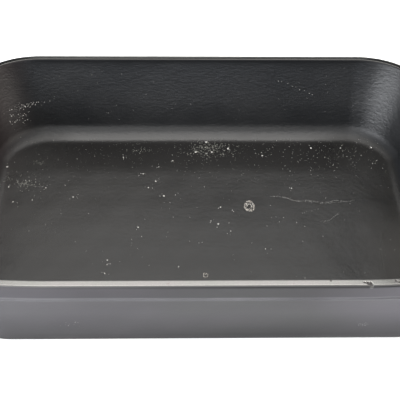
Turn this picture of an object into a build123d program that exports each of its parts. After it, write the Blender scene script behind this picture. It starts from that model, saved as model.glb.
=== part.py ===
"""Rectangular enamelled cast iron skillet with two drop-ring end handles.

The pan is one iron casting: a flat floor, flared walls, a ground flat rim and a ground foot ring.
A satin black enamel lines the inside, a grey enamel covers the walls and the underside, and the
rim, the foot ring and the two handle seats are left as bare iron. Each end carries a steel ring
handle that swings in a rolled steel strap, screwed onto a cast pad over a thin heat-proof gasket.

Frame: millimetres, +Z up, origin at the centre of the foot ring's face. X runs along the length,
from one handle to the other, and Y across the width.
"""

from build123d import *
import os
from math import atan, degrees

# Pan, finished sizes over the enamel
LENGTH = 330.0          # over the rim band, along X
WIDTH = 230.0           # over the rim band, along Y
HEIGHT = 62.0
CORNER_RADIUS = 50.0    # rim band, in plan
RIM_WIDTH = 4.6         # flat top of the rim, enamel edges included
BAND_HEIGHT = 10.5      # upright band under the rim
LEDGE = 0.8             # how far the flared wall stands out under the band
WALL_SLOPE = 0.30       # sideways run for each unit of height
FLOOR = 5.0             # thickness of the floor
RIM_LAND = 2.5          # upright strip inside, below the rim
FLOOR_FILLET = 13.0
BASE_FILLET = 3.0
LEDGE_FILLET = 0.5
ENAMEL = 0.45

# Underside
FOOT_INSET = 4.5        # from the base outline to the foot ring
FOOT_WIDTH = 15.0
RECESS_DEPTH = 0.8

# Handle pad: cast onto each end wall, its face machined upright
PAD_FACE_X = LENGTH / 2 + 1.5
PAD_LENGTH = 82.0
PAD_LOW_Z = 24.0
PAD_HIGH_Z = 50.0
PAD_CORNER = 7.0
PAD_DEPTH = 12.5
PAD_DRAFT = 8.0         # degrees, wider towards the wall

# Handle ring
ROD_RADIUS = 3.5
PIVOT_Z = 45.0
RING_DROP = 38.5        # pivot to the middle of the grip
ARM_Y = 48.0            # middle of an arm at the pivot
GRIP_CORNER_Y = 54.0    # where the arm's and the grip's lines meet
PIVOT_BEND = 7.0
GRIP_BEND = 14.0

# Strap that holds the ring
GASKET = 1.0
GASKET_MARGIN = 1.0     # from the seat's edge to the gasket's
SHEET = 2.0
BORE_RADIUS = ROD_RADIUS + 0.1
BARREL_RADIUS = BORE_RADIUS + SHEET
STRAP_LENGTH = 80.0
STRAP_LOW_Z = 27.0
STRAP_CORNER = 5.0
STRAP_BACK_X = PAD_FACE_X + GASKET
PIVOT_X = STRAP_BACK_X + BARREL_RADIUS
FOLD_GAP = 0.2          # between the folded sheet's two leaves
EAR_LOW_Z = PIVOT_Z + 2.5
EAR_ROOT = 6.0          # length of barrel that an ear grows from
TAB_LOW_Z = PIVOT_Z + ROD_RADIUS + 0.7
TAB_OUTER_Y = 52.5
TAB_INNER_Y = STRAP_LENGTH / 2 + 2.0
TAB_REACH = 12.0
TAB_CORNER = 3.0

# Screws
SCREW_Y = 24.0
SCREW_Z = 33.0
SCREW_RADIUS = 2.5
SCREW_INTO_PAD = 7.5
TAPPED_DEPTH = 9.0
THREAD_GAP = 0.05
CLEARANCE_RADIUS = 2.75
HEAD_RADIUS = 4.75
HEAD_HEIGHT = 2.8
HEAD_ROUND = 1.5
SOCKET_FLATS = 3.0
SOCKET_DEPTH = 1.6
WASHER_RADIUS = 4.25
WASHER_THICKNESS = 1.2
WASHER_SPLIT = 0.9

WASHER_GAP = 0.15       # round the shank

DRAFT = degrees(atan(WALL_SLOPE))
OVERRUN = 1.0           # how far a cutter or a joined block runs past the face it meets


def rounded_prism(length, width, radius, low, high):
    """An upright block with rounded corners, from z low to z high."""
    outline = Plane.XY.offset(low) * RectangleRounded(length, width, radius)
    return extrude(outline, high - low)


def flared_prism(length, width, radius, high, low):
    """A block that narrows downwards at the wall's slope from its outline at z high."""
    outline = Plane.XY.offset(high) * RectangleRounded(length, width, radius)
    return extrude(outline, high - low, dir=(0, 0, -1), taper=DRAFT)


def along_x(side, x, y, z):
    """A plane at side * x that looks outwards along X on that side."""
    return Plane(origin=(side * x, y, z), x_dir=(0, 1, 0), z_dir=(side, 0, 0))


def pad(side, inset):
    """The cast seat for a handle strap, drawn in by inset on its edges but not on its face."""
    outline = RectangleRounded(PAD_LENGTH - 2 * inset, PAD_HIGH_Z - PAD_LOW_Z - 2 * inset,
                               PAD_CORNER - inset)
    middle_z = (PAD_HIGH_Z + PAD_LOW_Z) / 2
    face = along_x(side, PAD_FACE_X, 0, middle_z) * outline
    return extrude(face, PAD_DEPTH, dir=(-side, 0, 0), taper=-PAD_DRAFT)


def outer_block(inset):
    """The pan's outside as a full block, drawn in by inset: 0 over the enamel, ENAMEL for bare iron."""
    length, width = LENGTH - 2 * inset, WIDTH - 2 * inset
    radius = CORNER_RADIUS - inset
    shoulder = HEIGHT - BAND_HEIGHT - inset
    band = rounded_prism(length, width, radius, shoulder - OVERRUN, HEIGHT)
    wall = flared_prism(length + 2 * LEDGE, width + 2 * LEDGE, radius + LEDGE, shoulder, inset)
    wall = fillet(wall.faces().sort_by(Axis.Z)[0].edges(), BASE_FILLET - inset)
    wall = fillet(wall.faces().sort_by(Axis.Z)[-1].edges(), LEDGE_FILLET)
    block = band + wall
    for side in (-1, 1):
        block += pad(side, inset)
    return block


def base_outline(inset):
    """Size and corner radius of the base's outline, drawn in by inset."""
    run = WALL_SLOPE * (HEIGHT - BAND_HEIGHT) - LEDGE + inset
    return LENGTH - 2 * run, WIDTH - 2 * run, CORNER_RADIUS - run


def recess(depth):
    """The shallow hollow inside the foot ring."""
    length, width, radius = base_outline(FOOT_INSET + FOOT_WIDTH)
    return rounded_prism(length, width, radius, -OVERRUN, depth)


def foot_block():
    """The land that the foot ring is ground on, before the hollow is cut."""
    length, width, radius = base_outline(FOOT_INSET)
    return rounded_prism(length, width, radius, 0, OVERRUN)


def cavity(grow):
    """The inside of the pan as a block: 0 to the enamel's surface, ENAMEL to the iron's."""
    length, width = LENGTH - 2 * (RIM_WIDTH - grow), WIDTH - 2 * (RIM_WIDTH - grow)
    radius = CORNER_RADIUS - RIM_WIDTH + grow
    land_z = HEIGHT - RIM_LAND
    land = rounded_prism(length, width, radius, land_z, HEIGHT)
    bowl = flared_prism(length, width, radius, land_z, FLOOR - grow)
    bowl = fillet(bowl.faces().sort_by(Axis.Z)[0].edges(), FLOOR_FILLET + grow)
    return land + bowl


def screw_places(side, x):
    """Planes at the two screws of one side, at distance x from the middle."""
    return [along_x(side, x, y, SCREW_Z) for y in (-SCREW_Y, SCREW_Y)]


def pan_body():
    """The iron casting, with its ground rim, foot ring and tapped handle seats."""
    iron = outer_block(ENAMEL) + foot_block()
    iron -= recess(RECESS_DEPTH + ENAMEL)
    iron -= cavity(ENAMEL)
    for side in (-1, 1):
        for place in screw_places(side, PAD_FACE_X - TAPPED_DEPTH):
            iron -= extrude(place * Circle(SCREW_RADIUS + THREAD_GAP), TAPPED_DEPTH + OVERRUN)
    return iron


def exterior_enamel():
    """The glassy coat on the outer walls, open at the rim, the foot ring and the handle seats."""
    length, width, radius = base_outline(FOOT_INSET)
    inside_foot = rounded_prism(length, width, radius, -OVERRUN, HEIGHT)
    return outer_block(0) - outer_block(ENAMEL) - inside_foot


def underside_enamel():
    """The same coat in the shallow hollow inside the foot ring."""
    return recess(RECESS_DEPTH + ENAMEL) - recess(RECESS_DEPTH)


def interior_enamel():
    """The black coat inside, ground off flush with the rim."""
    return cavity(ENAMEL) - cavity(0)


def gasket(side):
    """Thin heat-proof sheet that keeps the strap off the iron."""
    outline = RectangleRounded(PAD_LENGTH - 2 * GASKET_MARGIN, PAD_HIGH_Z - PAD_LOW_Z - 2 * GASKET_MARGIN,
                               PAD_CORNER - GASKET_MARGIN)
    middle_z = (PAD_HIGH_Z + PAD_LOW_Z) / 2
    sheet = extrude(along_x(side, PAD_FACE_X, 0, middle_z) * outline, GASKET)
    for place in screw_places(side, PAD_FACE_X - OVERRUN):
        sheet -= extrude(place * Circle(CLEARANCE_RADIUS), GASKET + 2 * OVERRUN)
    return sheet


def block_between(side, low, high):
    """A box between two corners given for the +X side, mirrored for the other."""
    (x0, y0, z0), (x1, y1, z1) = low, high
    middle = (side * (x0 + x1) / 2, (y0 + y1) / 2, (z0 + z1) / 2)
    return Pos(*middle) * Box(x1 - x0, abs(y1 - y0), z1 - z0)


def strap(side):
    """Sheet folded round the ring's pivot bar, with two tabs above that stop the ring when level."""
    half = STRAP_LENGTH / 2
    seam_x = STRAP_BACK_X + SHEET
    front_x = seam_x + SHEET
    leaves = block_between(side, (STRAP_BACK_X, -half, STRAP_LOW_Z), (front_x, half, PIVOT_Z - BORE_RADIUS))
    low_edges = leaves.edges().filter_by(Axis.X).group_by(Axis.Z)[0]
    leaves = fillet(low_edges, STRAP_CORNER)
    back = block_between(side, (STRAP_BACK_X, -half, PIVOT_Z - BORE_RADIUS), (seam_x, half, PIVOT_Z))
    pivot = Plane(origin=(side * PIVOT_X, -half, PIVOT_Z), x_dir=(1, 0, 0), z_dir=(0, 1, 0))
    body = leaves + back + extrude(pivot * Circle(BARREL_RADIUS), STRAP_LENGTH)
    tab_high_z = TAB_LOW_Z + SHEET
    for end in (-1, 1):
        root = block_between(side, (STRAP_BACK_X, end * (half - EAR_ROOT), PIVOT_Z),
                             (seam_x, end * half, tab_high_z))
        ear = block_between(side, (STRAP_BACK_X, end * half, EAR_LOW_Z),
                            (seam_x, end * TAB_OUTER_Y, tab_high_z))
        tab = block_between(side, (STRAP_BACK_X, end * TAB_INNER_Y, TAB_LOW_Z),
                            (STRAP_BACK_X + TAB_REACH, end * TAB_OUTER_Y, tab_high_z))
        tip = tab.edges().filter_by(Axis.Z).group_by(Axis.X)[-1 if side > 0 else 0]
        body += root + ear + fillet(tip, TAB_CORNER)
    body -= extrude(pivot * Circle(BORE_RADIUS), STRAP_LENGTH)
    body -= block_between(side, (seam_x, -half, STRAP_LOW_Z), (seam_x + FOLD_GAP, half, PIVOT_Z))
    for place in screw_places(side, STRAP_BACK_X - OVERRUN):
        body -= extrude(place * Circle(CLEARANCE_RADIUS), 2 * SHEET + 2 * OVERRUN)
    return body


def ring(side):
    """Closed handle ring of round bar, hanging straight down from its pivot bar."""
    x, top, low = side * PIVOT_X, PIVOT_Z, PIVOT_Z - RING_DROP
    corners = [(x, 0, top), (x, ARM_Y, top), (x, GRIP_CORNER_Y, low), (x, 0, low)]
    half_path = FilletPolyline(*corners, radius=[PIVOT_BEND, GRIP_BEND])
    start = Plane(origin=(x, 0, top), z_dir=(0, 1, 0))
    half = sweep(start * Circle(ROD_RADIUS), path=half_path)
    return half + mirror(half, about=Plane.XZ)


def screws(side):
    """Two round-headed socket screws of one strap."""
    made = []
    seat_x = STRAP_BACK_X + 2 * SHEET + WASHER_THICKNESS
    shank_length = seat_x - (PAD_FACE_X - SCREW_INTO_PAD)
    for place in screw_places(side, seat_x):
        head = extrude(place * Circle(HEAD_RADIUS), HEAD_HEIGHT)
        crown = head.faces().sort_by(Axis.X)[-1 if side > 0 else 0]
        head = fillet(crown.edges(), HEAD_ROUND)
        key = RegularPolygon(SOCKET_FLATS / 2, 6, major_radius=False)
        socket_plane = place.offset(HEAD_HEIGHT - SOCKET_DEPTH)
        head -= extrude(socket_plane * key, SOCKET_DEPTH + OVERRUN)
        made.append(head + extrude(place * Circle(SCREW_RADIUS), -shank_length))
    return made


def washers(side):
    """Two split spring washers under the screw heads of one strap."""
    made = []
    for place in screw_places(side, STRAP_BACK_X + 2 * SHEET):
        disc = Circle(WASHER_RADIUS) - Circle(SCREW_RADIUS + WASHER_GAP)
        disc -= Pos(0, WASHER_RADIUS) * Rectangle(WASHER_SPLIT, 2 * WASHER_RADIUS)
        made.append(extrude(place * disc, WASHER_THICKNESS))
    return made


def main():
    os.makedirs("parts", exist_ok=True)
    nodes = {
        "pan_body": pan_body(),
        "interior_enamel": interior_enamel(),
        "exterior_enamel": exterior_enamel(),
        "underside_enamel": underside_enamel(),
    }
    for name, side in (("left", -1), ("right", 1)):
        nodes[name + "_handle_gasket"] = gasket(side)
        nodes[name + "_handle_strap"] = strap(side)
        nodes[name + "_handle_ring"] = ring(side)
        nodes[name + "_strap_screws"] = Compound(children=screws(side))
        nodes[name + "_strap_washers"] = Compound(children=washers(side))
    for name, shape in nodes.items():
        export_step(shape, f"parts/{name}.step")


main()
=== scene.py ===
import math
import random

import bpy
import numpy as np
from mathutils import Matrix, Vector
from mathutils.bvhtree import BVHTree


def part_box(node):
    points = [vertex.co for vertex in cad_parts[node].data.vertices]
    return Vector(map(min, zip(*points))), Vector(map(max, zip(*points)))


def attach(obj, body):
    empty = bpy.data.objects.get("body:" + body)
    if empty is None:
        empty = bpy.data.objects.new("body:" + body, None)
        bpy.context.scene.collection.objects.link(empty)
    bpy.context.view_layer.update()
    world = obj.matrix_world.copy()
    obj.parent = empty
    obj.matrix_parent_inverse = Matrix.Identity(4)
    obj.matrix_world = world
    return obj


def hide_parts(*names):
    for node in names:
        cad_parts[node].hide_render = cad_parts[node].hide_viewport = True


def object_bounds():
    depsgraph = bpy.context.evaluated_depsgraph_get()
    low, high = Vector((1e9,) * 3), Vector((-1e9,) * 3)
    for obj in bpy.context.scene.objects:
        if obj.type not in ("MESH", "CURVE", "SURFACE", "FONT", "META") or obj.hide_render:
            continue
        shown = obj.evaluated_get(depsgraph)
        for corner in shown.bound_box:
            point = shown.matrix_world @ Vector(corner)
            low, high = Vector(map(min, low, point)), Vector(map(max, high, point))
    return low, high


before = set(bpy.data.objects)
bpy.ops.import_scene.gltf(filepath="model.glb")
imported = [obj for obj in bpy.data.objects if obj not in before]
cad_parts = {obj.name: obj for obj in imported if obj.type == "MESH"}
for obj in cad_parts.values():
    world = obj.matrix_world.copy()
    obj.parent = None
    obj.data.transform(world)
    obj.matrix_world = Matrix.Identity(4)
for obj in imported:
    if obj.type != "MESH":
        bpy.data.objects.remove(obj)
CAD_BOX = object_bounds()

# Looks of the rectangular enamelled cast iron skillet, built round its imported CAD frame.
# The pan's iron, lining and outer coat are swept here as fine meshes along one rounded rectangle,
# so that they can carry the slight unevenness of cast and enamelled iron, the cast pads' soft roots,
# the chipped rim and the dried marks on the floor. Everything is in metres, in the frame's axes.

MM = 0.001

# Sizes of the pan that its boxes don't give, in metres
ENAMEL = 0.45 * MM
ENAMEL_SHEET = 0.98 * ENAMEL
IRON_DEEP = 0.72 * MM
RIM_WIDTH = 4.6 * MM
BAND_HEIGHT = 10.5 * MM
LEDGE = 0.8 * MM
LEDGE_ROUND = 0.6 * MM
EDGE_IN = 0.35 * MM
EDGE_DOWN = 1.3 * MM
WALL_SLOPE = 0.30
RIM_LAND = 2.5 * MM
WALL_BOW = 0.55 * MM
CORNER_STIFF = 0.8
CORNER_FILL = 5 * MM
RIM_ROUND = 0.55 * MM
END_FILLET = 10 * MM
FLOOR_FILLET = 13 * MM
BASE_FILLET = 3 * MM
CORNER_RADIUS = 50 * MM
FOOT_INSET = 4.5 * MM
FOOT_WIDTH = 15 * MM
PAD_LENGTH = 82 * MM
PAD_LOW = 24 * MM
PAD_HIGH = 50 * MM
PAD_CORNER = 7 * MM
PAD_DRAFT = math.radians(8)
PAD_ROOT = 4 * MM

# Sizes and places from the frame
LINING_LOW, LINING_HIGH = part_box("interior_enamel")
RIM_TOP = LINING_HIGH.z
FLOOR_TOP = LINING_LOW.z + ENAMEL
HALF_LENGTH = LINING_HIGH.x + RIM_WIDTH - ENAMEL
HALF_WIDTH = LINING_HIGH.y + RIM_WIDTH - ENAMEL
RECESS_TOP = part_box("underside_enamel")[1].z
PAD_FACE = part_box("pan_body")[1].x
DRAFT = math.atan(WALL_SLOPE)
CORNER_X = HALF_LENGTH - CORNER_RADIUS
CORNER_Y = HALF_WIDTH - CORNER_RADIUS
BAND_LOW = RIM_TOP - BAND_HEIGHT
LAND_LOW = RIM_TOP - RIM_LAND
INNER_RADIUS = CORNER_RADIUS - RIM_WIDTH

# The chip in the front rim: its place, slant, half width and spread inwards, and its size
CHIP_X = 90.7 * MM
CHIP_SLANT = 0.95
CHIP_HALF = 0.9 * MM
CHIP_SPREAD = 0.35
CHIP_REACH = 2.6 * MM
CHIP_DEPTH = 1.0 * MM

# Small pits in the front rim: x, y and radius
PITS = [(68.4 * MM, -111.4 * MM, 0.45 * MM), (104.6 * MM, -111.6 * MM, 0.6 * MM),
        (106.3 * MM, -112.4 * MM, 0.5 * MM)]
PIT_DEPTH = 0.12 * MM

# How far the front corners draw in, and where that sets in
FRONT_DRAW = 1.1 * MM
DRAW_X = (88 * MM, 124 * MM)
DRAW_Y = (60 * MM, 100 * MM)
DRAW_Z = (8 * MM, 55 * MM)

# Size and height of the enamel's unevenness: broad swells, then smaller ones
LINING_SWELLS = ((62 * MM, 0.10 * MM, 11), (19 * MM, 0.035 * MM, 12))
COAT_SWELLS = ((70 * MM, -0.10 * MM, 21), (24 * MM, -0.03 * MM, 22))

# How fine the sweep is, and how many waves make one unevenness
CORNER_STEPS = 28
ROUND_STEP = 2.5 * MM
WAVE_COUNT = 9


# ---------------------------------------------------------------- meshes

def mesh_object(name, points, faces):
    """A mesh object from points in metres and faces as lists of point numbers."""
    mesh = bpy.data.meshes.new(name)
    mesh.from_pydata([tuple(map(float, p)) for p in points], [], faces)
    mesh.validate()
    mesh.update()
    mesh.polygons.foreach_set("use_smooth", [True] * len(mesh.polygons))
    made = bpy.data.objects.new(name, mesh)
    bpy.context.scene.collection.objects.link(made)
    return made


def spread(low, high, step):
    """Even values from low to high, both included, about step apart."""
    count = max(1, math.ceil(abs(high - low) / step))
    return [low + (high - low) * i / count for i in range(count + 1)]


def spread_fine(low, high, step, zones):
    """Values from low to high, step apart, and finer inside each (low, high, step) zone."""
    marks = sorted({low, high, *[v for a, b, _ in zones for v in (a, b) if low < v < high]})
    values = [low]
    for start, end in zip(marks, marks[1:]):
        middle = (start + end) / 2
        here = min([step, *[s for a, b, s in zones if a < middle < b]])
        values += spread(start, end, here)[1:]
    return values


def stations():
    """Places round the pan, anticlockwise: x, y of the bend's centre and the way outwards."""
    pad_edge = PAD_LENGTH / 2
    zones_y = [(s * pad_edge - 3 * MM, s * pad_edge + 3 * MM, 0.4 * MM) for s in (-1, 1)]
    zones_x = [(x - 1.5 * MM, x + 1.5 * MM, 0.3 * MM) for x, _, _ in PITS]
    zones_x.append((CHIP_X - 6 * MM, CHIP_X + 4 * MM, 0.22 * MM))
    ys = spread_fine(-CORNER_Y, CORNER_Y, ROUND_STEP, zones_y)
    xs = spread_fine(-CORNER_X, CORNER_X, ROUND_STEP, zones_x)
    places = []

    def corner(x, y, start):
        for i in range(CORNER_STEPS + 1):
            angle = math.radians(start + 90 * i / CORNER_STEPS)
            places.append((x, y, math.cos(angle), math.sin(angle)))

    places += [(CORNER_X, y, 1, 0) for y in ys[1:-1]]
    corner(CORNER_X, CORNER_Y, 0)
    places += [(x, CORNER_Y, 0, 1) for x in reversed(xs[1:-1])]
    corner(-CORNER_X, CORNER_Y, 90)
    places += [(-CORNER_X, y, -1, 0) for y in reversed(ys[1:-1])]
    corner(-CORNER_X, -CORNER_Y, 180)
    places += [(x, -CORNER_Y, 0, -1) for x in xs[1:-1]]
    corner(CORNER_X, -CORNER_Y, 270)
    return np.array(places), xs, ys


STATIONS, GRID_X, GRID_Y = stations()


def arc(centre_r, centre_z, radius, start, end, steps):
    """Points of an arc in a section through the wall, angles in degrees from outwards to up."""
    found = []
    for i in range(steps + 1):
        angle = math.radians(start + (end - start) * i / steps)
        found.append((centre_r + radius * math.cos(angle), centre_z + radius * math.sin(angle)))
    return found


def line(start, end, step):
    """Points along a straight stretch of a section, without the first one."""
    length = math.dist(start, end)
    count = max(1, math.ceil(length / step))
    return [(start[0] + (end[0] - start[0]) * i / count, start[1] + (end[1] - start[1]) * i / count)
            for i in range(1, count + 1)]


def swept_points(section):
    """The section's points at every station: an array of rows by stations by 3."""
    rows = []
    for r, z in section:
        x = STATIONS[:, 0] + r * STATIONS[:, 2]
        y = STATIONS[:, 1] + r * STATIONS[:, 3]
        rows.append(np.stack([x, y, np.full(len(x), z)], axis=1))
    return np.array(rows)


def swept_faces(rows, count, flip=False):
    """Quads between neighbouring rows of a closed sweep."""
    faces = []
    for row in range(rows - 1):
        for i in range(count):
            a = row * count + i
            b = row * count + (i + 1) % count
            quad = [a, b, b + count, a + count]
            faces.append(quad[::-1] if flip else quad)
    return faces


def cap(points, faces, first, z, flip=False):
    """Closes a sweep with a grid, where its row from point number first nearly meets the grid's edge."""
    count = len(STATIONS)
    start = len(points)
    columns, rows = len(GRID_X), len(GRID_Y)
    grid = [(x, y, z) for y in GRID_Y for x in GRID_X]

    def at(column, row):
        return start + row * columns + column

    def add(face):
        faces.append(face[::-1] if flip else face)

    for row in range(rows - 1):
        for column in range(columns - 1):
            add([at(column, row), at(column + 1, row), at(column + 1, row + 1), at(column, row + 1)])

    def grid_number(place):
        x, y = place[0], place[1]
        column = int(np.argmin([abs(x - v) for v in GRID_X]))
        row = int(np.argmin([abs(y - v) for v in GRID_Y]))
        return at(column, row)

    inner = [grid_number(p) for p in STATIONS]
    for i in range(count):
        j = (i + 1) % count
        ring_a, ring_b = first + i, first + j
        if inner[i] == inner[j]:
            add([ring_a, ring_b, inner[i]])
        else:
            add([ring_a, ring_b, inner[j], inner[i]])
    return points + grid


def waves(points, size, height, seed):
    """Smooth unevenness: one height for each point, with bumps about size across."""
    draw = np.random.default_rng(seed)
    total = np.zeros(len(points))
    for _ in range(WAVE_COUNT):
        direction = draw.normal(size=3)
        direction /= np.linalg.norm(direction)
        pitch = size * draw.uniform(0.7, 1.6)
        phase = draw.uniform(0, 2 * math.pi)
        total += np.sin(points @ direction * (2 * math.pi / pitch) + phase)
    return total * height / math.sqrt(WAVE_COUNT)


def uneven(made, size, height, seed, keep):
    """Pushes a mesh's points along their normals by waves, times keep(points)."""
    mesh = made.data
    count = len(mesh.vertices)
    points = np.empty(count * 3)
    normals = np.empty(count * 3)
    mesh.vertices.foreach_get("co", points)
    mesh.vertices.foreach_get("normal", normals)
    points, normals = points.reshape(-1, 3), normals.reshape(-1, 3)
    push = waves(points, size, height, seed) * keep(points)
    moved = np.clip(points + normals * push[:, None], CAD_BOX[0], CAD_BOX[1])
    mesh.vertices.foreach_set("co", moved.ravel())
    mesh.update()


def smooth_step(value, low, high):
    """0 below low, 1 above high, smooth between."""
    t = np.clip((value - low) / (high - low), 0, 1)
    return t * t * (3 - 2 * t)


# ---------------------------------------------------------------- the pan's sections

def inner_wall_r(z):
    """How far the inner wall stands from the bends' centres at height z."""
    return INNER_RADIUS - WALL_SLOPE * (LAND_LOW - z)


def bow(z):
    """How far the inner wall swells outwards: it starts steeply under the rim and ends at the fillet."""
    share = min(max((LAND_LOW - z) / (LAND_LOW - FILLET_Z), 0), 1)
    return WALL_BOW * 6.75 * share * (1 - share) ** 2


def fillet_r(z, radius):
    """The inside's section with another floor fillet: r at height z, below the fillet's upper end."""
    centre_z = FLOOR_TOP + radius
    centre_r = inner_wall_r(centre_z) - radius / math.cos(DRAFT)
    if z > centre_z - radius * math.sin(DRAFT):
        return inner_wall_r(z)
    return centre_r + math.sqrt(max(radius ** 2 - (centre_z - z) ** 2, 0))


def shape_inside(rows):
    """Shapes the inside between, along and in the corners.

    The long walls bow between the corners. The corners have no upright land under the rim and are
    rounder towards the floor. The fillet is tighter along the ends.
    """
    out = rows.copy()
    across, along = STATIONS[:, 2], STATIONS[:, 3]
    corner = np.abs(2 * across * along)
    for row in out:
        z = row[0, 2]
        r = float(np.hypot(row[0, 0] - STATIONS[0, 0], row[0, 1] - STATIONS[0, 1]))
        swell = bow(z) * (1 - CORNER_STIFF * corner) * (z > FILLET_Z)
        swell = swell - WALL_SLOPE * min(RIM_TOP - z, RIM_LAND) * np.sqrt(corner)
        if z < FILLET_Z:
            tighter = fillet_r(z, END_FILLET) - fillet_r(z, FLOOR_FILLET)
            swell = swell + tighter * across ** 2 * min(r / FILLET_R, 1)
        row[:, 0] += swell * across
        row[:, 1] += swell * along
        low = 1 - smooth_step(z, FLOOR_TOP + 0.5 * FLOOR_FILLET, RIM_TOP - 8 * MM)
        fill = CORNER_FILL * float(low * smooth_step(r, CAP_R, 0.8 * FILLET_R))
        u = np.abs(row[:, 0]) - (CORNER_X - fill)
        v = np.abs(row[:, 1]) - (CORNER_Y - fill)
        inside = (u > 0) & (v > 0)
        reach = np.where(inside, np.hypot(u, v), 1)
        scale = np.where(inside, (r + fill + swell) / reach, 1)
        row[:, 0] = np.where(inside, np.sign(row[:, 0]) * (CORNER_X - fill + u * scale), row[:, 0])
        row[:, 1] = np.where(inside, np.sign(row[:, 1]) * (CORNER_Y - fill + v * scale), row[:, 1])
    return out


def outer_wall_r(z):
    """The same for the outer wall."""
    return CORNER_RADIUS + LEDGE - WALL_SLOPE * (BAND_LOW - z)


FILLET_Z = FLOOR_TOP + FLOOR_FILLET
FILLET_R = inner_wall_r(FILLET_Z) - FLOOR_FILLET / math.cos(DRAFT)
DRAFT_DEGREES = math.degrees(DRAFT)
CAP_R = 2 * MM


def lining_section():
    """From the rim's inner edge down the wall and along the floor."""
    section = [(INNER_RADIUS + RIM_ROUND, RIM_TOP)]
    section += arc(INNER_RADIUS + RIM_ROUND, RIM_TOP - RIM_ROUND, RIM_ROUND, 90, 180, 6)[1:]
    section += line(section[-1], (INNER_RADIUS, LAND_LOW + 0.5 * MM), 0.6 * MM)
    fillet = arc(FILLET_R, FILLET_Z, FLOOR_FILLET, -DRAFT_DEGREES, -90, 16)
    heights = spread(LAND_LOW - 0.4 * MM, fillet[0][1], 1.5 * MM)
    section += [(inner_wall_r(z), z) for z in heights]
    section += fillet[1:]
    section += line(section[-1], (CAP_R, FLOOR_TOP), 2 * MM)
    return section


def coat_section():
    """From the rim's outer edge down the band, the ledge and the wall, to the foot ring."""
    section = [(CORNER_RADIUS - ENAMEL, RIM_TOP)]
    for share in spread(0, 1, 0.2):
        angle = math.radians(90 * (1 - share))
        section.append((CORNER_RADIUS - EDGE_IN * (1 - math.cos(angle)),
                        RIM_TOP - EDGE_DOWN * (1 - math.sin(angle))))
    tilt = math.radians(60)
    step = LEDGE_ROUND * (math.cos(DRAFT) - math.cos(tilt) + 1 - math.cos(tilt))
    drop = LEDGE_ROUND * (math.sin(DRAFT) + 2 * math.sin(tilt))
    ledge_low = BAND_LOW - (LEDGE - step) / WALL_SLOPE
    ledge_high = ledge_low + drop
    section += line(section[-1], (CORNER_RADIUS, ledge_high), 1.2 * MM)
    section += arc(CORNER_RADIUS + LEDGE_ROUND, ledge_high, LEDGE_ROUND, 180, 240, 5)[1:]
    middle_r, middle_z = section[-1]
    section += arc(middle_r - LEDGE_ROUND * math.cos(tilt), middle_z - LEDGE_ROUND * math.sin(tilt),
                   LEDGE_ROUND, 60, -DRAFT_DEGREES, 6)[1:]
    base_r = outer_wall_r(BASE_FILLET) - BASE_FILLET / math.cos(DRAFT)
    base = arc(base_r, BASE_FILLET, BASE_FILLET, -DRAFT_DEGREES, -90, 8)
    top_z, low_z = section[-1][1], base[0][1]
    zones = [(PAD_LOW - 3.5 * MM, PAD_LOW + 2 * MM, 0.4 * MM),
             (PAD_HIGH - 2 * MM, top_z, 0.3 * MM)]
    heights = spread_fine(low_z, top_z, 1.6 * MM, zones)
    section += [(outer_wall_r(z), z) for z in reversed(heights[1:-1])]
    section += base
    section += line(section[-1], (foot_outer_r(), 0), 1 * MM)
    return section


def foot_outer_r():
    """The same for the foot ring's outer edge."""
    return outer_wall_r(0) - FOOT_INSET


def iron_section():
    """The whole casting: inside floor, inside wall, rim, outside, foot ring and recess."""
    section = [(CAP_R, FLOOR_TOP - IRON_DEEP)]
    section += line(section[-1], (FILLET_R, FLOOR_TOP - IRON_DEEP), 6 * MM)
    fillet = arc(FILLET_R, FILLET_Z, FLOOR_FILLET + IRON_DEEP, -90, -DRAFT_DEGREES, 8)
    heights = spread(fillet[-1][1], LAND_LOW, 3 * MM)
    section += fillet[1:]
    section += [(inner_wall_r(z) + IRON_DEEP, z) for z in heights[1:]]
    inside_rows = len(section)
    section += line(section[-1], (INNER_RADIUS + RIM_ROUND, RIM_TOP - ENAMEL), 0.6 * MM)
    section += line(section[-1], (INNER_RADIUS + RIM_ROUND, RIM_TOP), 0.6 * MM)
    section += line(section[-1], (CORNER_RADIUS - ENAMEL, RIM_TOP), 0.25 * MM)
    section += line(section[-1], (CORNER_RADIUS - IRON_DEEP, RIM_TOP - 4 * MM), 0.6 * MM)
    section += line(section[-1], (CORNER_RADIUS - IRON_DEEP, BAND_LOW - IRON_DEEP), 2 * MM)
    zones = [(PAD_LOW - 3.5 * MM, PAD_LOW + 2 * MM, 0.5 * MM),
             (PAD_HIGH - 2 * MM, BAND_LOW, 0.4 * MM)]
    heights = spread_fine(ENAMEL, section[-1][1], 3 * MM, zones)
    section += [(outer_wall_r(z) - IRON_DEEP, z) for z in reversed(heights[:-1])]
    foot_r = foot_outer_r()
    ease = 0.2 * MM
    section += [(foot_r, ENAMEL), (foot_r, ease), (foot_r - ease, 0)]
    section += line(section[-1], (foot_r - FOOT_WIDTH + ease, 0), 1.5 * MM)
    section += [(foot_r - FOOT_WIDTH, ease), (foot_r - FOOT_WIDTH, RECESS_TOP)]
    section += line(section[-1], (CAP_R, RECESS_TOP), 5 * MM)
    return section, inside_rows


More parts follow.
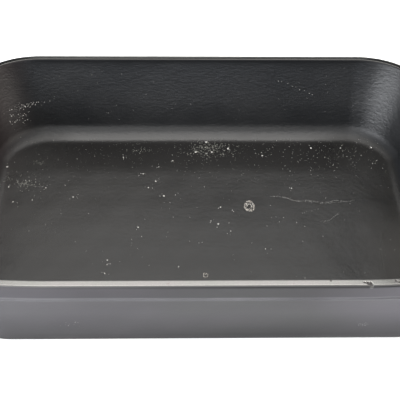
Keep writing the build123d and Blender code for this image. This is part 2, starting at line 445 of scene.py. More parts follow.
def pad_points(points, face, inset):
    """Moves the end walls' points out to the cast pads, with drafted sides and soft roots."""
    out = points.copy()
    x, y, z = np.abs(points[:, 0]), points[:, 1], points[:, 2]
    middle_z = (PAD_LOW + PAD_HIGH) / 2
    half_y, half_z = PAD_LENGTH / 2 - inset, (PAD_HIGH - PAD_LOW) / 2 - inset
    corner = PAD_CORNER - inset
    dy = np.abs(y) - (half_y - corner)
    dz = np.abs(z - middle_z) - (half_z - corner)
    outside = np.hypot(np.maximum(dy, 0), np.maximum(dz, 0)) - corner
    distance = np.where((dy > 0) | (dz > 0), outside, np.maximum(dy, dz) - corner)
    pad_x = face - np.maximum(distance, 0) / math.tan(PAD_DRAFT)
    depth = np.maximum(face - x, 0.2 * MM)
    blend = np.minimum(PAD_ROOT, 0.9 * depth)
    near = np.maximum(blend - np.abs(pad_x - x), 0) / blend
    raised = np.minimum(np.maximum(pad_x, x) + near * near * blend / 4, face)
    wall = (np.abs(y) < CORNER_Y) & (z < BAND_LOW) & (z > PAD_LOW - 8 * MM) & (x > HALF_LENGTH - 20 * MM)
    moved = np.where(wall & (raised > x), raised, x)
    out[:, 0] = np.sign(points[:, 0]) * moved
    return out


def draw_in(points):
    """Draws the front wall's ends in a little at the top, as the casting has."""
    share = smooth_step(np.abs(points[:, 0]), *DRAW_X)
    share = share * smooth_step(-points[:, 1], *DRAW_Y)
    share = share * smooth_step(points[:, 2], *DRAW_Z)
    out = points.copy()
    out[:, 1] += FRONT_DRAW * share
    return out


def chip(points):
    """Breaks the rim's front edge at the chip and dents it at the pits. Also the mask of both."""
    out = points.copy()
    x, y, z = points.T
    inwards = np.maximum(y + HALF_WIDTH, 0)
    middle = CHIP_X - CHIP_SLANT * inwards
    half = CHIP_HALF + CHIP_SPREAD * inwards
    ragged = 0.12 * np.sin(x * 3100) + 0.1 * np.sin(x * 6100 + 1)
    across = 1 - smooth_step(np.abs(x - middle) / half + ragged, 0.75, 1.25)
    shape = across * (1 - smooth_step(inwards / CHIP_REACH + ragged, 0.8, 1.05))
    shape = shape * (1 - smooth_step(RIM_TOP - z, 0.6 * MM, 1.4 * MM)) * (y < 0)
    out[:, 2] -= shape * CHIP_DEPTH * (1 - smooth_step(RIM_TOP - z, 0.1 * MM, 1.2 * MM))
    for pit_x, pit_y, radius in PITS:
        dent = 1 - smooth_step(np.hypot(x - pit_x, y - pit_y) / radius, 0.5, 1.1)
        dent = dent * (z > RIM_TOP - 0.1 * MM)
        out[:, 2] -= dent * PIT_DEPTH
        shape = np.maximum(shape, dent)
    return out, shape


def mark_attribute(made, name, values):
    """A named number on every point of a mesh, for its material to read."""
    attribute = made.data.attributes.new(name, "FLOAT", "POINT")
    attribute.data.foreach_set("value", np.asarray(values, dtype=np.float32))


def solidify(made, thickness):
    """Gives an open sheet its thickness, behind the side that its normals point to."""
    modifier = made.modifiers.new("thickness", "SOLIDIFY")
    modifier.thickness = thickness
    modifier.offset = -1
    modifier.use_even_offset = True
    modifier.use_quality_normals = True


# ---------------------------------------------------------------- marks inside the pan

# Where marks lie on the floor, and its larger crumbs: x, y and radius, in millimetres
FLOOR_X = (-138, 138)
FLOOR_SPECKS = [(-2, 74, 0.9), (10, 74, 0.8), (6, 86, 0.9), (22, 78, 0.8), (47, 70, 0.8), (-55, 68, 0.6),
                (-40, 49, 0.6), (-29, 57, 0.5), (-19, 64, 0.6), (-31, 41, 0.7), (-36, 34, 0.5),
                (-25, 25, 0.7), (-17, 26, 0.4), (14, 13, 0.6), (22, 10, 0.4), (12, -4, 0.7), (7, -1, 0.4),
                (20, -11, 0.4), (65, 33, 0.6), (-42, -7, 0.6), (-61, -38, 0.6), (-61, -42, 0.5),
                (-62, -50, 0.5), (-15, -44, 0.5), (42, -28, 0.5), (-88, 24, 0.6), (-138, 57, 0.8),
                (-134, 35, 0.8), (-129, 19, 0.7), (-116, 21, 0.5), (-123, 42, 0.5), (-108, 34, 0.5),
                (84, 79, 0.7), (106, 79, 0.7), (129, 79, 0.6)]


def lump(points, faces, centre, normal, radius, height, draw, sides=7):
    """Adds a low, irregular crumb, standing on a surface with the given normal."""
    up = Vector(normal).normalized()
    side = up.orthogonal().normalized()
    turn = draw.uniform(0, 2 * math.pi)
    across = side * math.cos(turn) + up.cross(side) * math.sin(turn)
    along = up.cross(across)
    start = len(points)
    stretch = draw.uniform(0.6, 1.0)
    radii = [radius * draw.uniform(0.65, 1.1) for _ in range(sides)]
    for share, level in ((1.0, -0.12 * MM), (1.0, 0.25 * height), (0.62, 0.85 * height)):
        for i in range(sides):
            angle = 2 * math.pi * i / sides
            reach = radii[i] * share
            place = across * (reach * math.cos(angle)) + along * (reach * stretch * math.sin(angle))
            points.append(tuple(Vector(centre) + place + up * level))
    for ring in range(2):
        for i in range(sides):
            a, b = start + ring * sides + i, start + ring * sides + (i + 1) % sides
            faces.append([a, b, b + sides, a + sides])
    faces.append([start + i for i in reversed(range(sides))])
    faces.append([start + 2 * sides + i for i in range(sides)])


class Surface:
    """A piece's surface, to set marks on."""

    def __init__(self, made):
        mesh = made.data
        self.tree = BVHTree.FromPolygons([v.co for v in mesh.vertices],
                                         [p.vertices for p in mesh.polygons])

    def floor(self, x, y):
        """The place and normal of the floor, x and y in millimetres."""
        start = Vector((x * MM, y * MM, RIM_TOP))
        place, normal, _, _ = self.tree.ray_cast(start, Vector((0, 0, -1)))
        return place, normal

    def back_wall(self, x, z):
        """The place and normal of the back wall seen from the pan's middle line, in millimetres."""
        start = Vector((math.copysign(max(abs(x) - 60, 0), x) * MM, 0, z * MM))
        place, normal, _, _ = self.tree.ray_cast(start, Vector((x * MM, CORNER_Y + 0.03, z * MM)) - start)
        return place, normal

    def front_wall(self, x, z):
        """The place and normal of the front wall outside, in millimetres."""
        start = Vector((x * MM, -2 * HALF_WIDTH, z * MM))
        place, normal, _, _ = self.tree.ray_cast(start, Vector((0, 1, 0)))
        return place, normal


def build_specks(lining):
    """Dried crumbs and lime specks on the floor and the back wall."""
    draw = random.Random(31)
    points, faces = [], []
    for x, y, radius in FLOOR_SPECKS:
        lump(points, faces, *lining.floor(x, y), radius * MM, 0.3 * MM, draw)
        for _ in range(draw.randrange(1, 4)):
            near = lining.floor(x + draw.gauss(0, 1.8), y + draw.gauss(0, 1.8))
            lump(points, faces, *near, draw.uniform(0.15, 0.32) * MM, 0.16 * MM, draw)
    for count, xs, ys, radii in ((170, FLOOR_X, (-85, 88), (0.10, 0.26)),
                                 (60, (40, 138), (52, 88), (0.12, 0.32))):
        for _ in range(count):
            place = lining.floor(draw.uniform(*xs), draw.uniform(*ys))
            lump(points, faces, *place, draw.uniform(*radii) * MM, 0.15 * MM, draw)
    for _ in range(25):
        place = lining.floor(draw.gauss(-120, 12), draw.gauss(40, 14))
        lump(points, faces, *place, draw.uniform(0.12, 0.3) * MM, 0.15 * MM, draw)
    for x, wide, z, tall, count in ((-128, 7, 30, 1.2, 44), (-131, 4, 23, 2.5, 26),
                                    (-140, 2.5, 25, 3.5, 20), (-118, 4, 30, 0.9, 14)):
        for _ in range(count):
            place = lining.back_wall(x + draw.gauss(0, wide), max(z + draw.gauss(0, tall), 14))
            lump(points, faces, *place, draw.choice((0.13, 0.17, 0.22, 0.3, 0.42)) * MM, 0.15 * MM, draw)
    for i in range(9):
        place = lining.back_wall(52 + 3.4 * i + draw.gauss(0, 0.8), 46 - 1.3 * i + draw.gauss(0, 0.5))
        lump(points, faces, *place, draw.uniform(0.16, 0.32) * MM, 0.12 * MM, draw)
    for _ in range(60):
        place = lining.back_wall(draw.uniform(-125, 125), draw.uniform(17, 56))
        lump(points, faces, *place, draw.uniform(0.08, 0.22) * MM, 0.14 * MM, draw)
    return mesh_object("dried_specks", points, faces)


def build_haze(lining):
    """Grainy patches of dried film on the floor."""
    draw = random.Random(32)
    points, faces = [], []
    for x, wide, y, deep, count in ((8, 9, 77, 5.0, 330), (-116, 3.5, 62, 1.2, 30), (-121, 5, 38, 2.8, 80),
                                    (-42, 4, 76, 1.6, 32), (-134, 3, 46, 5.0, 30), (100, 14, 70, 7.0, 60)):
        for _ in range(count):
            place = lining.floor(x + draw.gauss(0, wide), min(y + draw.gauss(0, deep), 90))
            lump(points, faces, *place, draw.choice((0.14, 0.2, 0.3, 0.42)) * MM, 0.1 * MM, draw, 6)
    for _ in range(650):
        place = lining.floor(draw.uniform(*FLOOR_X), 88 - abs(draw.gauss(0, 26)))
        lump(points, faces, *place, draw.uniform(0.1, 0.24) * MM, 0.1 * MM, draw, 5)
    return mesh_object("dried_haze", points, faces)


def build_rings(lining):
    """Two rings of scale left by dried drops, broken, with holes through them."""
    draw = random.Random(33)
    points, faces = [], []
    for x, y, size, deep, count in ((34, 14, 3.7, 5.4, 105), (2, -52, 1.7, 2.1, 22)):
        for i in range(count):
            angle = 2 * math.pi * i / count + draw.uniform(-0.2, 0.2)
            share = draw.choice((1.0, 0.95, 0.9, 0.8, 0.7, 0.45)) * draw.uniform(0.9, 1.06)
            place = lining.floor(x + size * share * math.cos(angle), y + deep * share * math.sin(angle))
            lump(points, faces, *place, draw.uniform(0.2, 0.5) * MM * (0.75 + size / 12), 0.35 * MM, draw)
    return mesh_object("dried_rings", points, faces)


def build_scratches(lining):
    """Long pale scratches: broken runs of fine crumbs of glaze along slack curves."""
    draw = random.Random(34)
    points, faces = [], []
    runs = [((50, 26), (76, 14.5), (108, 20.5), 1.0), ((56, 23), (80, 15), (98, 18), 0.6),
            ((81.5, -1.5), (89.5, -0.5), (95.5, 6.5), 0.6), ((70, 7), (76, 8), (82, 11), 0.35),
            ((-121, 36.5), (-112, 35), (-105, 37), 0.8)]
    for start, middle, end, strength in runs:
        length = math.dist(start, middle) + math.dist(middle, end)
        count = int(length * 3.2 * strength)
        for i in range(count):
            t = (i + draw.uniform(0, 0.8)) / count
            x = start[0] * (1 - t) ** 2 + 2 * middle[0] * t * (1 - t) + end[0] * t * t + draw.gauss(0, 0.3)
            y = start[1] * (1 - t) ** 2 + 2 * middle[1] * t * (1 - t) + end[1] * t * t + draw.gauss(0, 0.3)
            y += 0.9 * math.sin(x * 0.35) * strength
            if draw.random() < 0.25 + 0.2 * math.sin(x * 0.8):
                continue
            lump(points, faces, *lining.floor(x, y), draw.uniform(0.22, 0.45) * MM, 0.06 * MM, draw, 5)
    return mesh_object("floor_scratches", points, faces)


def build_scuffs(coat):
    """A pale speck and a rubbed patch on the front wall outside."""
    draw = random.Random(35)
    points, faces = [], []
    for x, wide, z, tall, count in ((-74, 0.5, 24.5, 0.5, 5), (93, 2.0, 20, 1.2, 26),
                                    (-80, 2.5, 21, 1.5, 7)):
        for _ in range(count):
            place = coat.front_wall(x + draw.gauss(0, wide), z + draw.gauss(0, tall))
            lump(points, faces, *place, draw.uniform(0.15, 0.4) * MM, 0.08 * MM, draw, 6)
    return mesh_object("wall_scuffs", points, faces)


def build_lining():
    """The black enamel inside."""
    section = lining_section()
    points = shape_inside(swept_points(section)).reshape(-1, 3)
    count = len(STATIONS)
    faces = swept_faces(len(section), count)
    points, _ = chip(draw_in(points))
    points = [tuple(p) for p in points]
    points = cap(points, faces, (len(section) - 1) * count, FLOOR_TOP)
    made = mesh_object("lining_enamel", points, faces)

    def free(p):
        """1 low down, 0 at the rim."""
        return smooth_step(RIM_TOP - p[:, 2], 1 * MM, 8 * MM)

    for size, height, seed in LINING_SWELLS:
        uneven(made, size, height, seed, free)
    solidify(made, ENAMEL_SHEET)
    return made


def build_coat():
    """The grey enamel outside, over the cast pads."""
    section = coat_section()
    points = swept_points(section).reshape(-1, 3)
    points = pad_points(points, PAD_FACE, 0)
    points, chipped = chip(draw_in(points))
    faces = swept_faces(len(section), len(STATIONS), flip=True)
    made = mesh_object("outer_enamel", points, faces)
    mark_attribute(made, "chip", chipped)

    def free(p):
        """1 on the open walls, 0 at the rim, the base and the machined seats."""
        seat = smooth_step(np.abs(p[:, 0]), PAD_FACE - 2.5 * MM, PAD_FACE - 1 * MM)
        below_rim = smooth_step(RIM_TOP - p[:, 2], 0.5 * MM, 4 * MM)
        above_base = smooth_step(p[:, 2], 1 * MM, 6 * MM)
        return below_rim * above_base * (1 - seat)

    for size, height, seed in COAT_SWELLS:
        uneven(made, size, height, seed, free)
    solidify(made, ENAMEL_SHEET)
    return made


def build_iron():
    """The casting, seen at the ground rim and the foot ring."""
    section, inside_rows = iron_section()
    rows = swept_points(section)
    rows[:inside_rows] = shape_inside(rows[:inside_rows])
    points = rows.reshape(-1, 3)
    points = pad_points(points, PAD_FACE - 0.05 * MM, ENAMEL)
    points, chipped = chip(draw_in(points))
    count = len(STATIONS)
    faces = swept_faces(len(section), count, flip=True)
    points = [tuple(p) for p in points]
    before = len(points)
    points = cap(points, faces, 0, FLOOR_TOP - IRON_DEEP)
    points = cap(points, faces, (len(section) - 1) * count, RECESS_TOP, flip=True)
    made = mesh_object("pan_iron", points, faces)
    mark_attribute(made, "chip", np.concatenate([chipped, np.zeros(len(points) - before)]))
    return made


# ---------------------------------------------------------------- materials

class Nodes:
    """Short ways to add and join a material's nodes."""

    def __init__(self, name):
        self.material = bpy.data.materials.new(name)
        self.material.use_nodes = True
        self.tree = self.material.node_tree
        self.tree.nodes.clear()
        self.shader = self.add("ShaderNodeBsdfPrincipled")
        output = self.add("ShaderNodeOutputMaterial")
        self.join(self.shader.outputs["BSDF"], output.inputs["Surface"])
        self.place = self.add("ShaderNodeTexCoord").outputs["Object"]

    def add(self, kind, **settings):
        node = self.tree.nodes.new(kind)
        for key, value in settings.items():
            setattr(node, key, value)
        return node

    def join(self, start, end):
        self.tree.links.new(start, end)

    def set(self, **values):
        """Constant values on the shader's own sockets."""
        for key, value in values.items():
            self.shader.inputs[key.replace("_", " ")].default_value = value

    def noise(self, scale, detail=3.0, roughness=0.55, stretch=None):
        node = self.add("ShaderNodeTexNoise")
        node.inputs["Scale"].default_value = scale
        node.inputs["Detail"].default_value = detail
        node.inputs["Roughness"].default_value = roughness
        self.join(self.stretched(stretch), node.inputs["Vector"])
        return node.outputs["Fac"]

    def cells(self, scale):
        node = self.add("ShaderNodeTexVoronoi", feature="F1")
        node.inputs["Scale"].default_value = scale
        self.join(self.place, node.inputs["Vector"])
        return node.outputs["Distance"]

    def stretched(self, stretch):
        if stretch is None:
            return self.place
        node = self.add("ShaderNodeMapping")
        node.inputs["Scale"].default_value = stretch
        self.join(self.place, node.inputs["Vector"])
        return node.outputs["Vector"]

    def curve(self, source, low, high, to_low=0.0, to_high=1.0):
        """Source mapped from low..high to to_low..to_high, held at the ends."""
        node = self.add("ShaderNodeMapRange")
        node.inputs["From Min"].default_value = low
        node.inputs["From Max"].default_value = high
        node.inputs["To Min"].default_value = to_low
        node.inputs["To Max"].default_value = to_high
        self.join(source, node.inputs["Value"])
        return node.outputs["Result"]

    def span(self, axis, low, high, to_low=0.0, to_high=1.0):
        """A curve along an axis, with its ends in millimetres."""
        return self.curve(self.axis(axis), low * MM, high * MM, to_low, to_high)

    def math(self, operation, a, b=None):
        node = self.add("ShaderNodeMath", operation=operation)
        for socket, value in zip(node.inputs, (a, b)):
            if value is None:
                continue
            if isinstance(value, (int, float)):
                socket.default_value = value
            else:
                self.join(value, socket)
        return node.outputs["Value"]

    def times(self, a, b):
        return self.math("MULTIPLY", a, b)

    def plus(self, a, b):
        return self.math("ADD", a, b)

    def minus(self, a, b):
        return self.math("SUBTRACT", a, b)

    def most(self, a, b):
        return self.math("MAXIMUM", a, b)

    def mix(self, share, first, second):
        """Colour first where share is 0 and second where it is 1."""
        node = self.add("ShaderNodeMix", data_type="RGBA")
        self.join(share, node.inputs["Factor"])
        for socket, value in ((node.inputs["A"], first), (node.inputs["B"], second)):
            if isinstance(value, tuple):
                socket.default_value = (*value, 1)
            else:
                self.join(value, socket)
        return node.outputs["Result"]

    def bump(self, height, depth, after=None):
        """A bump of the given height field, depth in metres, on top of another bump."""
        node = self.add("ShaderNodeBump")
        node.inputs["Distance"].default_value = depth
        node.inputs["Strength"].default_value = 1.0
        self.join(height, node.inputs["Height"])
        if after is not None:
            self.join(after, node.inputs["Normal"])
        return node.outputs["Normal"]

    def axis(self, name):
        node = self.add("ShaderNodeSeparateXYZ")
        self.join(self.place, node.inputs["Vector"])
        return node.outputs[name]

    def chipped(self, elsewhere=0.0, there=1.0):
        """One value in the rim's chip and pits, another elsewhere."""
        marked = self.add("ShaderNodeAttribute", attribute_name="chip").outputs["Fac"]
        return self.curve(marked, 0.01, 0.15, elsewhere, there)

    def up(self):
        """How far the surface faces up, before any bump."""
        node = self.add("ShaderNodeSeparateXYZ")
        self.join(self.add("ShaderNodeNewGeometry").outputs["True Normal"], node.inputs["Vector"])
        return node.outputs["Z"]

    def edges(self, radius):
        """1 on edges sharper than the radius and 0 on open surfaces."""
        bevel = self.add("ShaderNodeBevel", samples=4)
        bevel.inputs["Radius"].default_value = radius
        dot = self.add("ShaderNodeVectorMath", operation="DOT_PRODUCT")
        self.join(bevel.outputs["Normal"], dot.inputs[0])
        self.join(self.add("ShaderNodeNewGeometry").outputs["Normal"], dot.inputs[1])
        return self.curve(dot.outputs["Value"], 0.86, 0.985, 1, 0)

    def finish(self, colour, roughness, normal, metallic=None):
        self.join(colour, self.shader.inputs["Base Color"])
        self.join(roughness, self.shader.inputs["Roughness"])
        self.join(normal, self.shader.inputs["Normal"])
        if metallic is not None:
            self.join(metallic, self.shader.inputs["Metallic"])
        return self.material


def lining_tone(n, floor, cloud, fine):
    """The lining's colour: near black, with brown films, worn edges, a rubbed lip and painted shade on the
    back of the floor.
    """
    tone = n.mix(n.curve(cloud, 0.35, 0.68), (0.0058, 0.0064, 0.0074), (0.0090, 0.0094, 0.0102))
    tone = n.mix(n.times(floor, n.curve(fine, 0.35, 0.7, 0.55, 1)), tone, (0.0064, 0.0058, 0.0048))
    left = n.times(n.span("X", -140, 20, 1, 0), n.times(floor, cloud))
    tone = n.mix(left, tone, (0.022, 0.020, 0.018))
    right = n.times(n.span("X", 100, 142), n.span("Y", 20, -30))
    tone = n.mix(n.times(floor, right), tone, (0.034, 0.032, 0.029))
    worn = n.times(n.edges(0.3 * MM), n.curve(fine, 0.4, 0.6))
    tone = n.mix(worn, tone, (0.045, 0.042, 0.038))
    # Painted shade: the floor's colour darkens towards the back.
    back = n.times(floor, n.span("Y", 30, 80))
    tone = n.mix(back, tone, (0.0046, 0.0043, 0.0041))
    # Lighter, slightly brown tone at the left end, mostly on the walls.
    left_end_tint = n.times(n.span("X", -120, -145), n.curve(cloud, 0.3, 0.7, 0.5, 1))
    left_end_tint = n.times(left_end_tint, n.curve(n.up(), 0.5, 0.95, 1, 0.3))
    tone = n.mix(left_end_tint, tone, (0.020, 0.0135, 0.0140))
    rubbed = n.times(n.curve(n.axis("Z"), RIM_TOP - 0.5 * MM, RIM_TOP - 0.05 * MM),
                     n.span("Y", 20, 100, 1, 0.3))
    return n.mix(rubbed, tone, (0.10, 0.098, 0.094))


def lining_bumps(n):
    """The lining's pebbled skin, weaker on the floor, with a finer grain over it."""
    pebble = n.plus(n.noise(430, 2, 0.5, (0.7, 0.7, 1.3)), n.times(n.noise(900, 2, 0.5), 0.4))
    weight = n.curve(n.up(), 0.80, 0.99, 1.0, 0.32)
    normal = n.bump(n.times(pebble, weight), 0.18 * MM)
    return n.bump(n.noise(1300, 3, 0.6), 0.05 * MM, normal)


def lining_rough(n, cloud, fine, corner, lip):
    """The lining's roughness: less on the floor, more in the back corners and at the back lip."""
    rough = n.curve(n.plus(cloud, n.times(fine, 0.6)), 0.5, 1.1, 0.33, 0.40)
    rough = n.minus(rough, n.times(n.curve(n.up(), 0.85, 0.99), 0.14))
    rough = n.plus(rough, n.times(corner, n.curve(n.up(), 0.32, 0.60, 0.03, 0.15)))
    return n.plus(rough, n.times(lip, 0.35))


def lining_shine(n, floor, corner, lip):
    """The lining's specular level: less at the back lip and in the dull corners."""
    right = n.times(n.span("X", 112, 132), n.curve(n.up(), 0.32, 0.6))
    left = n.times(n.span("X", -20, -80), n.span("X", -138, -122))
    left = n.times(left, n.span("Z", 58, 30, 0.4, 1))
    left = n.times(left, n.curve(n.up(), 0.35, 0.5, 0.8, 0))
    bend = n.times(corner, n.curve(n.up(), 0.45, 0.7, 0, 0.6))
    far = n.times(n.span("X", 78, 104), n.span("Y", 35, 80))
    dull = n.most(right, n.times(lip, 1.5))
    dull = n.most(dull, n.most(left, bend))
    dull = n.most(dull, n.times(far, floor))
    return n.curve(dull, 0, 1.5, 0.5, 0.2)


def black_enamel():
    """Satin black lining: pebbled on the walls, finer on the floor, lighter and slightly brown at the left
    end.
    """
    n = Nodes("black_enamel")
    floor = n.curve(n.up(), 0.75, 0.98)
    cloud = n.noise(22, 4, 0.6)
    fine = n.noise(240, 3, 0.6)
    corner = n.times(n.curve(n.math("ABSOLUTE", n.axis("X")), 92 * MM, 122 * MM), n.span("Y", 35, 70))
    lip = n.times(n.curve(n.axis("Z"), RIM_TOP - 1.2 * MM, RIM_TOP - 0.3 * MM), n.span("Y", 20, 90))
    n.join(lining_shine(n, floor, corner, lip), n.shader.inputs["Specular IOR Level"])
    n.set(IOR=1.5)
    tone = lining_tone(n, floor, cloud, fine)
    rough = lining_rough(n, cloud, fine, corner, lip)
    return n.finish(tone, rough, lining_bumps(n))


def coat_tone(n, height, cloud, painted_base_shade):
    """The coat's colour: clouded dark grey, painted paler towards the ends as light, painted shade low
    down, a painted highlight at the ledge and worn edges.
    """
    # Painted light: the outer wall is coloured paler towards its ends, more at the right end.
    right = n.span("X", 60, 140)
    left = n.span("X", -60, -140, 0, 0.4)
    tone = n.mix(n.curve(cloud, 0.35, 0.7), (0.0161, 0.0149, 0.0186), (0.0226, 0.0213, 0.0254))
    smudge = n.noise(19, 1, 0.4, (0.6, 1, 1.6))
    tone = n.mix(n.curve(smudge, 0.46, 0.72, 0, 0.8), tone, (0.0157, 0.0167, 0.0171))
    tone = n.mix(n.curve(smudge, 0.26, 0.52, 0.8, 0), tone, (0.0250, 0.0225, 0.0290))
    tone = n.mix(n.most(right, left), tone, (0.058, 0.054, 0.067))
    # Painted shade low on the wall.
    tone = n.mix(painted_base_shade, tone, (0.003, 0.003, 0.0035))
    # Painted highlight: a pale line along the ledge; the same pale tone also marks worn edges.
    ledge = n.times(n.curve(height, BAND_LOW - 1.4 * MM, BAND_LOW - 0.3 * MM),
                    n.curve(height, BAND_LOW + 0.5 * MM, BAND_LOW + 1.4 * MM, 1, 0))
    worn = n.most(ledge, n.edges(0.3 * MM))
    return n.mix(n.times(worn, n.curve(cloud, 0.3, 0.6, 0.6, 1)), tone, (0.078, 0.077, 0.083))


def coat_bare(n, height):
    """1 where the coat is ground through, along the rim and on the pads' seats, but not in the chip."""
    ground = n.times(n.curve(height, RIM_TOP - 1.1 * MM, RIM_TOP - 0.1 * MM),
                     n.span("X", -140, 60, 1, 0.85))
    seat = n.curve(n.math("ABSOLUTE", n.axis("X")), PAD_FACE - 0.03 * MM, PAD_FACE - 0.01 * MM)
    return n.times(n.most(ground, seat), n.chipped(1, 0))


def grey_enamel():
    """Satin grey coat outside, with a painted shade line under the front rim and bare metal above."""
    n = Nodes("grey_enamel")
    height = n.axis("Z")
    cloud = n.noise(26, 3, 0.5)
    patch = n.noise(13, 3, 0.5, (0.7, 1, 2.4))
    # Painted shade: the outer wall darkens towards the base in blotches, with less shine there.
    painted_base_shade = n.times(n.curve(height, 1 * MM, 36 * MM, 1, 0), n.curve(patch, 0.25, 0.68, 0.68, 1))
    front = n.span("Y", 20, 90, 1, 0)
    # Painted shade: a dark line just under the front rim's edge, weaker towards the left.
    line = n.times(n.curve(height, RIM_TOP - 2.8 * MM, RIM_TOP - 1.5 * MM),
                   n.times(n.span("X", -95, 20, 0.1, 1), front))
    bare = coat_bare(n, height)
    tone = n.mix(line, coat_tone(n, height, cloud, painted_base_shade), (0.004, 0.004, 0.005))
    tone = n.mix(bare, tone, (0.135, 0.132, 0.128))
    # Painted highlight: towards the back the ground rim takes a paler, non-metal colour; towards the front
    # it stays dark metal.
    tone = n.mix(n.times(bare, n.curve(front, 0, 1, 1, 0)), tone, (0.30, 0.295, 0.285))
    tone = n.mix(n.chipped(), tone, (0.085, 0.083, 0.080))
    band = n.curve(height, BAND_LOW - 1.5 * MM, BAND_LOW - 0.2 * MM, 0, 0.15)
    shine = n.plus(n.curve(painted_base_shade, 0, 1, 0.28, 0.10), band)
    n.join(n.minus(shine, n.times(line, 0.12)), n.shader.inputs["Specular IOR Level"])
    n.set(IOR=1.5)
    rough = n.plus(n.curve(cloud, 0.2, 0.8, 0.285, 0.325), n.times(line, 0.3))
    normal = n.bump(n.noise(380, 2, 0.5), 0.02 * MM)
    normal = n.bump(n.noise(1900, 2, 0.5), 0.003 * MM, normal)
    # Metal only towards the front; the back of the rim keeps its painted highlight colour.
    return n.finish(tone, rough, normal, n.times(n.times(bare, front), 0.95))


def bare_iron():
    """Ground cast iron at the rim and foot: pale, with faint stains, pores and dark chips, painted shade
    towards the back and a painted highlight along the back rim's outer edge.
    """
    n = Nodes("bare_iron")
    cloud = n.noise(60, 4, 0.6)
    grind = n.noise(900, 3, 0.6, (0.14, 1, 1))
    pores = n.curve(n.cells(520), 0.02, 0.07)
    tone = n.mix(n.curve(cloud, 0.4, 0.6), (0.285, 0.285, 0.270), (0.305, 0.292, 0.286))
    tone = n.mix(n.curve(grind, 0.35, 0.75, 0, 0.35), tone, (0.268, 0.264, 0.252))
    tone = n.mix(n.curve(n.noise(170, 3, 0.6), 0.66, 0.78, 0, 0.5), tone, (0.22, 0.19, 0.17))
    tone = n.mix(n.curve(pores, 0, 1, 0.55, 1), (0.18, 0.16, 0.14), tone)
    worn = n.times(n.edges(0.25 * MM), n.curve(cloud, 0.4, 0.6, 0, 0.5))
    tone = n.mix(worn, tone, (0.36, 0.35, 0.34))
    # Painted shade: the bare iron is coloured darker towards the back.
    tone = n.mix(n.span("Y", 60, 112, 0, 0.8), tone, (0.10, 0.098, 0.093))
    # Painted highlight: a pale strip along the outer edge of the back rim.
    tone = n.mix(n.span("Y", 111.6, 113.6, 0, 0.9), tone, (0.80, 0.78, 0.75))
    tone = n.mix(n.chipped(), tone, (0.030, 0.025, 0.023))
    rough = n.curve(grind, 0.3, 0.75, 0.15, 0.21)
    normal = n.bump(grind, 0.003 * MM)
    normal = n.bump(pores, 0.015 * MM, normal)
    metallic = n.chipped(1, 0)
    return n.finish(tone, rough, normal, metallic)


def brushed_steel(name, tones, roughness, stretch):
    """Steel with brushing along one way, faint stains and handling marks."""
    n = Nodes(name)
    brush = n.noise(1400, 3, 0.65, stretch)
    cloud = n.noise(85, 4, 0.6)
    tone = n.mix(n.curve(brush, 0.3, 0.75), tones[0], tones[1])
    tone = n.mix(n.curve(cloud, 0.58, 0.8, 0, 0.55), tone, tones[2])
    tone = n.mix(n.times(n.edges(0.5 * MM), n.curve(cloud, 0.3, 0.6)), tone, (0.72, 0.715, 0.70))
    rough = n.curve(n.plus(n.times(brush, 0.7), n.times(cloud, 0.5)),
                    0.35, 0.85, roughness[0], roughness[1])
    normal = n.bump(brush, 0.02 * MM)
    normal = n.bump(n.noise(180, 2, 0.5), 0.03 * MM, normal)
    n.set(Metallic=1.0)
    return n.finish(tone, rough, normal)


def gasket_sheet():
    """Pressed fibre sheet: matt, speckled."""
    n = Nodes("gasket")
    fleck = n.noise(1500, 4, 0.7)
    tone = n.mix(n.curve(fleck, 0.35, 0.7), (0.045, 0.042, 0.038), (0.11, 0.10, 0.088))
    tone = n.mix(n.times(n.edges(0.3 * MM), fleck), tone, (0.20, 0.185, 0.16))
    rough = n.curve(n.noise(300), 0.3, 0.7, 0.8, 0.95)
    return n.finish(tone, rough, n.bump(fleck, 0.05 * MM))


def residue(name, dark, pale):
    """Dried lime and food: chalky and broken up."""
    n = Nodes(name)
    crumb = n.noise(1100, 4, 0.75)
    tone = n.mix(n.curve(crumb, 0.36, 0.62), dark, pale)
    tone = n.mix(n.times(n.edges(0.1 * MM), crumb), tone, pale)
    rough = n.curve(n.noise(500), 0.3, 0.7, 0.6, 0.85)
    return n.finish(tone, rough, n.bump(crumb, 0.08 * MM))


# ---------------------------------------------------------------- stage, lights, camera

def stage_floor():
    """Plain pale floor."""
    half = 4.0
    mesh = bpy.data.meshes.new("studio_floor")
    low = -0.2 * MM
    mesh.from_pydata([(-half, -half, low), (half, -half, low), (half, half, low), (-half, half, low)],
                     [], [(0, 1, 2, 3)])
    made = bpy.data.objects.new("studio_floor", mesh)
    bpy.context.scene.collection.objects.link(made)
    n = Nodes("studio_floor")
    n.set(Base_Color=(0.93, 0.93, 0.93, 1), Roughness=0.9)
    n.set(Emission_Color=(1, 1, 1, 1), Emission_Strength=0.30)
    made.data.materials.append(n.material)


def soft_light(name, place, target, size, radiance, colour=(1, 1, 1)):
    """A rectangular soft light of one brightness all over, aimed from place at target."""
    data = bpy.data.lights.new(name, "AREA")
    data.shape = "RECTANGLE"
    data.size, data.size_y = size
    data.energy = radiance * math.pi * size[0] * size[1]
    data.color = colour
    made = bpy.data.objects.new(name, data)
    made.location = place
    made.rotation_euler = (Vector(target) - Vector(place)).to_track_quat("-Z", "Y").to_euler()
    bpy.context.scene.collection.objects.link(made)
    made.visible_camera = False


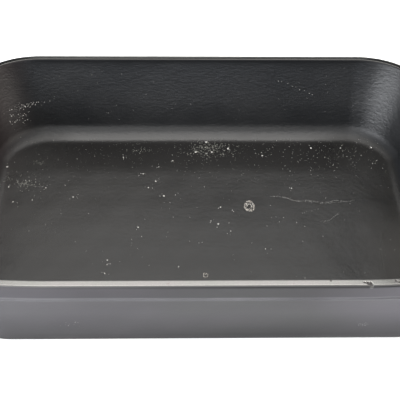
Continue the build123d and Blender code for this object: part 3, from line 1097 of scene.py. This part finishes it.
def lights():
    """A broad ceiling, a stronger light under it, and low lights in front, in a dim surround."""
    world = bpy.data.worlds.new("studio")
    world.use_nodes = True
    background = world.node_tree.nodes["Background"]
    background.inputs["Color"].default_value = (0.90, 0.95, 1.0, 1)
    background.inputs["Strength"].default_value = 0.14
    bpy.context.scene.world = world
    soft_light("ceiling", (0, 0.20, 1.20), (0, 0.20, 0), (0.92, 2.40), 1.75, (1, 0.99, 0.97))
    soft_light("key", (0, 0.0, 1.15), (0, 0.0, 0), (1.0, 1.4), 2.75, (1, 0.975, 0.95))
    soft_light("front_high", (0, -1.25, 0.75), (0, 0.05, 0.03), (0.7, 0.75), 2.1, (1, 0.98, 0.95))
    soft_light("front_low", (0.04, -1.45, 0.23), (0, 0.10, 0.05), (0.32, 0.26), 5.6, (0.82, 0.89, 1))
    soft_light("left_low", (-0.97, -0.75, 0.44), (0.12, 0.06, 0.05), (1.08, 0.72), 11.8, (0.94, 0.96, 1))
    soft_light("left_side", (-1.2, 0.05, 0.55), (0.12, 0.06, 0.05), (0.8, 0.8), 0.5, (0.98, 0.98, 1))
    soft_light("back_low", (0, 2.0, 0.36), (0, 0, 0.05), (3.2, 0.6), 0.5)
    soft_light("right_low", (1.1, -0.45, 0.45), (-0.12, 0.06, 0.05), (1.1, 0.74), 3.2, (1, 0.96, 0.88))


def camera():
    """The view: from in front and above, turned a little to the left."""
    distance = 616.9 * MM
    elevation = math.radians(41.33)
    turn = math.radians(-2.05)
    roll = math.radians(1.27)
    aim = Vector((-0.75 * MM, -1.76 * MM, 24.75 * MM))
    back = Vector((math.sin(turn) * math.cos(elevation), -math.cos(turn) * math.cos(elevation),
                   math.sin(elevation)))
    data = bpy.data.cameras.new("camera")
    data.sensor_width = 36
    data.lens = 83.80
    data.clip_start = 0.01
    made = bpy.data.objects.new("camera", data)
    made.matrix_world = (Matrix.Translation(aim + back * distance)
                         @ (-back).to_track_quat("-Z", "Y").to_matrix().to_4x4()
                         @ Matrix.Rotation(roll, 4, "Z"))
    bpy.context.scene.collection.objects.link(made)
    bpy.context.scene.camera = made


# ---------------------------------------------------------------- assembly

def put(made, material, slot, *nodes):
    """Gives a new piece of the pan its material and the CAD nodes that it stands for; slot is not used."""
    made.data.materials.clear()
    made.data.materials.append(material)
    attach(made, "pan")
    if nodes:
        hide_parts(*nodes)


def paint(node, material):
    """Puts a material on a CAD node."""
    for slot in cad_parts[node].material_slots:
        slot.material = material


def main():
    bpy.context.scene.view_settings.view_transform = "Standard"
    camera()
    lights()
    stage_floor()
    iron, black, grey = bare_iron(), black_enamel(), grey_enamel()
    put(build_iron(), iron, "bare_iron", "pan_body")
    lining_piece = build_lining()
    put(lining_piece, black, "black_enamel", "interior_enamel")
    lining = Surface(lining_piece)
    coat_piece = build_coat()
    put(coat_piece, grey, "grey_enamel", "exterior_enamel")
    glaze = residue("rubbed_glaze", (0.08, 0.078, 0.08), (0.24, 0.235, 0.235))
    put(build_scuffs(Surface(coat_piece)), glaze, "grey_enamel")
    marks = ((build_specks, "lime_specks", (0.26, 0.25, 0.235), (0.80, 0.79, 0.75)),
             (build_haze, "lime_haze", (0.06, 0.061, 0.053), (0.30, 0.30, 0.265)),
             (build_rings, "lime_rings", (0.22, 0.19, 0.165), (0.62, 0.59, 0.54)),
             (build_scratches, "glaze_scratches", (0.05, 0.049, 0.046), (0.17, 0.166, 0.158)))
    for build, name, dark, pale in marks:
        put(build(lining), residue(name, dark, pale), "black_enamel")
    paint("underside_enamel", grey)
    steel = brushed_steel("handle_steel", ((0.50, 0.50, 0.49), (0.62, 0.615, 0.60), (0.40, 0.385, 0.36)),
                          (0.285, 0.38), (1, 0.08, 1))
    sheet = brushed_steel("strap_steel", ((0.44, 0.44, 0.435), (0.56, 0.555, 0.545), (0.36, 0.345, 0.32)),
                          (0.29, 0.44), (1, 0.1, 1))
    turned = brushed_steel("screw_steel", ((0.42, 0.42, 0.42), (0.55, 0.55, 0.545), (0.33, 0.32, 0.31)),
                           (0.285, 0.4), (1, 1, 1))
    fibre = gasket_sheet()
    for side in ("left", "right"):
        paint(side + "_handle_ring", steel)
        paint(side + "_handle_strap", sheet)
        paint(side + "_strap_screws", turned)
        paint(side + "_strap_washers", turned)
        paint(side + "_handle_gasket", fibre)


main()
bpy.context.view_layer.update()
